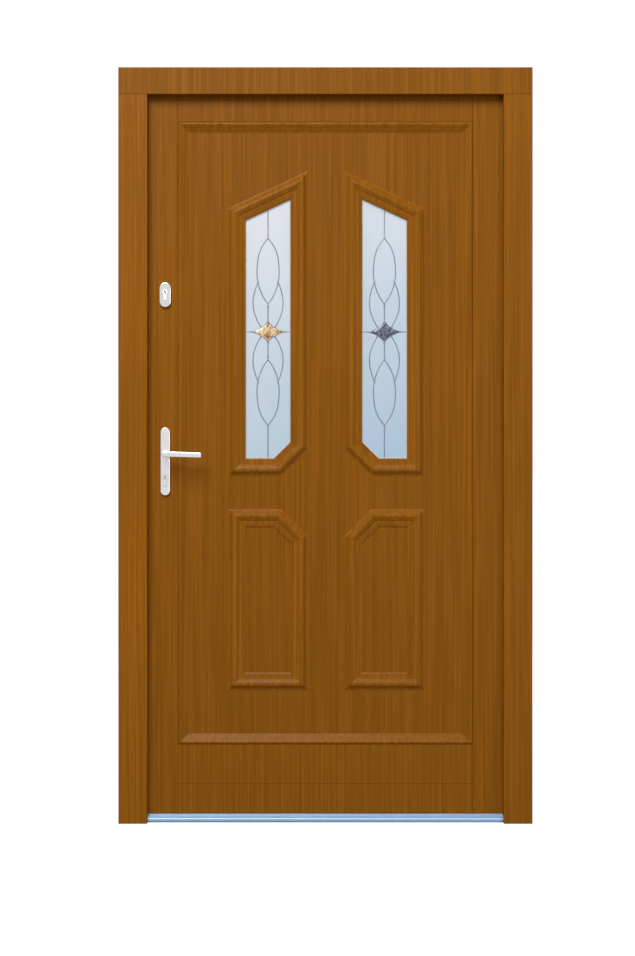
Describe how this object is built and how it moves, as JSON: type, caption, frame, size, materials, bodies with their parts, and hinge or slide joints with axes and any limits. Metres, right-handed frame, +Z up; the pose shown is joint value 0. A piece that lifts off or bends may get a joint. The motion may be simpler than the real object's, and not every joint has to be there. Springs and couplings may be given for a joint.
{
  "type": "wooden entrance door",
  "caption": "Wooden entrance door hung in its rebated frame, with leaded windows, surround mouldings, perimeter bead, metal threshold and lever handle.",
  "frame": {"origin": "in the underside of the threshold, half way along it and half way through the frame", "axes": "+Z up, -Y out of the outside face, +X towards the hinged side, the leaf opens towards +Y"},
  "size_m": [1.15, 0.1892, 2.1],
  "materials": {
    "golden_oak": "satin golden-brown stain with an upright grain",
    "threshold_metal": "mill-finished extrusion",
    "satin_silver": "satin silver anodised",
    "cylinder_metal": "satin nickel",
    "hinge_steel": "zinc-plated, brushed",
    "satin_glass": "satin-etched, pale blue-white",
    "lead_came": "dull grey lead",
    "amber_glass": "hammered amber glass",
    "smoke_glass": "hammered smoke-grey glass"
  },
  "bodies": {
    "frame": {"jamb_lock_side": "golden_oak", "jamb_hinge_side": "golden_oak", "frame_head": "golden_oak", "threshold": "threshold_metal", "strike_plate": "hinge_steel", "hinge_1_frame_part": "hinge_steel", "hinge_2_frame_part": "hinge_steel", "hinge_3_frame_part": "hinge_steel"},
    "leaf": {"stile_lock_side": "golden_oak", "stile_hinge_side": "golden_oak", "top_rail": "golden_oak", "kick_rail": "golden_oak", "bottom_rail": "golden_oak", "door_panel": "golden_oak", "panel_bead_bottom": "golden_oak", "panel_bead_right": "golden_oak", "panel_bead_top": "golden_oak", "panel_bead_left": "golden_oak", "window_moulding_left_inner": "golden_oak", "window_moulding_left_corner": "golden_oak", "window_moulding_left_sill": "golden_oak", "window_moulding_left_outer": "golden_oak", "window_moulding_left_top": "golden_oak", "window_moulding_right_inner": "golden_oak", "window_moulding_right_corner": "golden_oak", "window_moulding_right_sill": "golden_oak", "window_moulding_right_outer": "golden_oak", "window_moulding_right_top": "golden_oak", "lower_moulding_left_inner": "golden_oak", "lower_moulding_left_corner": "golden_oak", "lower_moulding_left_sill": "golden_oak", "lower_moulding_left_outer": "golden_oak", "lower_moulding_left_top": "golden_oak", "lower_moulding_right_inner": "golden_oak", "lower_moulding_right_corner": "golden_oak", "lower_moulding_right_sill": "golden_oak", "lower_moulding_right_outer": "golden_oak", "lower_moulding_right_top": "golden_oak", "glass_pane_left": "satin_glass", "glass_pane_right": "satin_glass", "lead_came_left": "lead_came", "lead_came_right": "lead_came", "jewel_left": "amber_glass", "jewel_right": "smoke_glass", "inner_bead_left": "golden_oak", "inner_bead_right": "golden_oak", "handle_plate_outer": "satin_silver", "handle_plate_inner": "satin_silver", "upper_escutcheon_outer": "satin_silver", "upper_escutcheon_inner": "satin_silver", "lock_cylinder_main": "cylinder_metal", "lock_cylinder_upper": "cylinder_metal", "lock_forend": "hinge_steel", "hinge_1_leaf_part": "hinge_steel", "hinge_2_leaf_part": "hinge_steel", "hinge_3_leaf_part": "hinge_steel"},
    "handle": {"lever_outer": "satin_silver", "lever_inner": "satin_silver", "spindle": "hinge_steel"}
  },
  "joints": [
    {"name": "leaf_swing", "type": "hinge", "parent": "frame", "child": "leaf", "pos_m": [0.511, 0.057, 1.05], "axis": [0, 0, -1], "range_deg": [0, 110]},
    {"name": "handle_turn", "type": "hinge", "parent": "leaf", "child": "handle", "pos_m": [-0.447, 0, 1.027], "axis": [0, 1, 0], "range_deg": [0, 45], "stiffness_Nm_per_rad": 1, "springref_deg": -28.65}
  ]
}
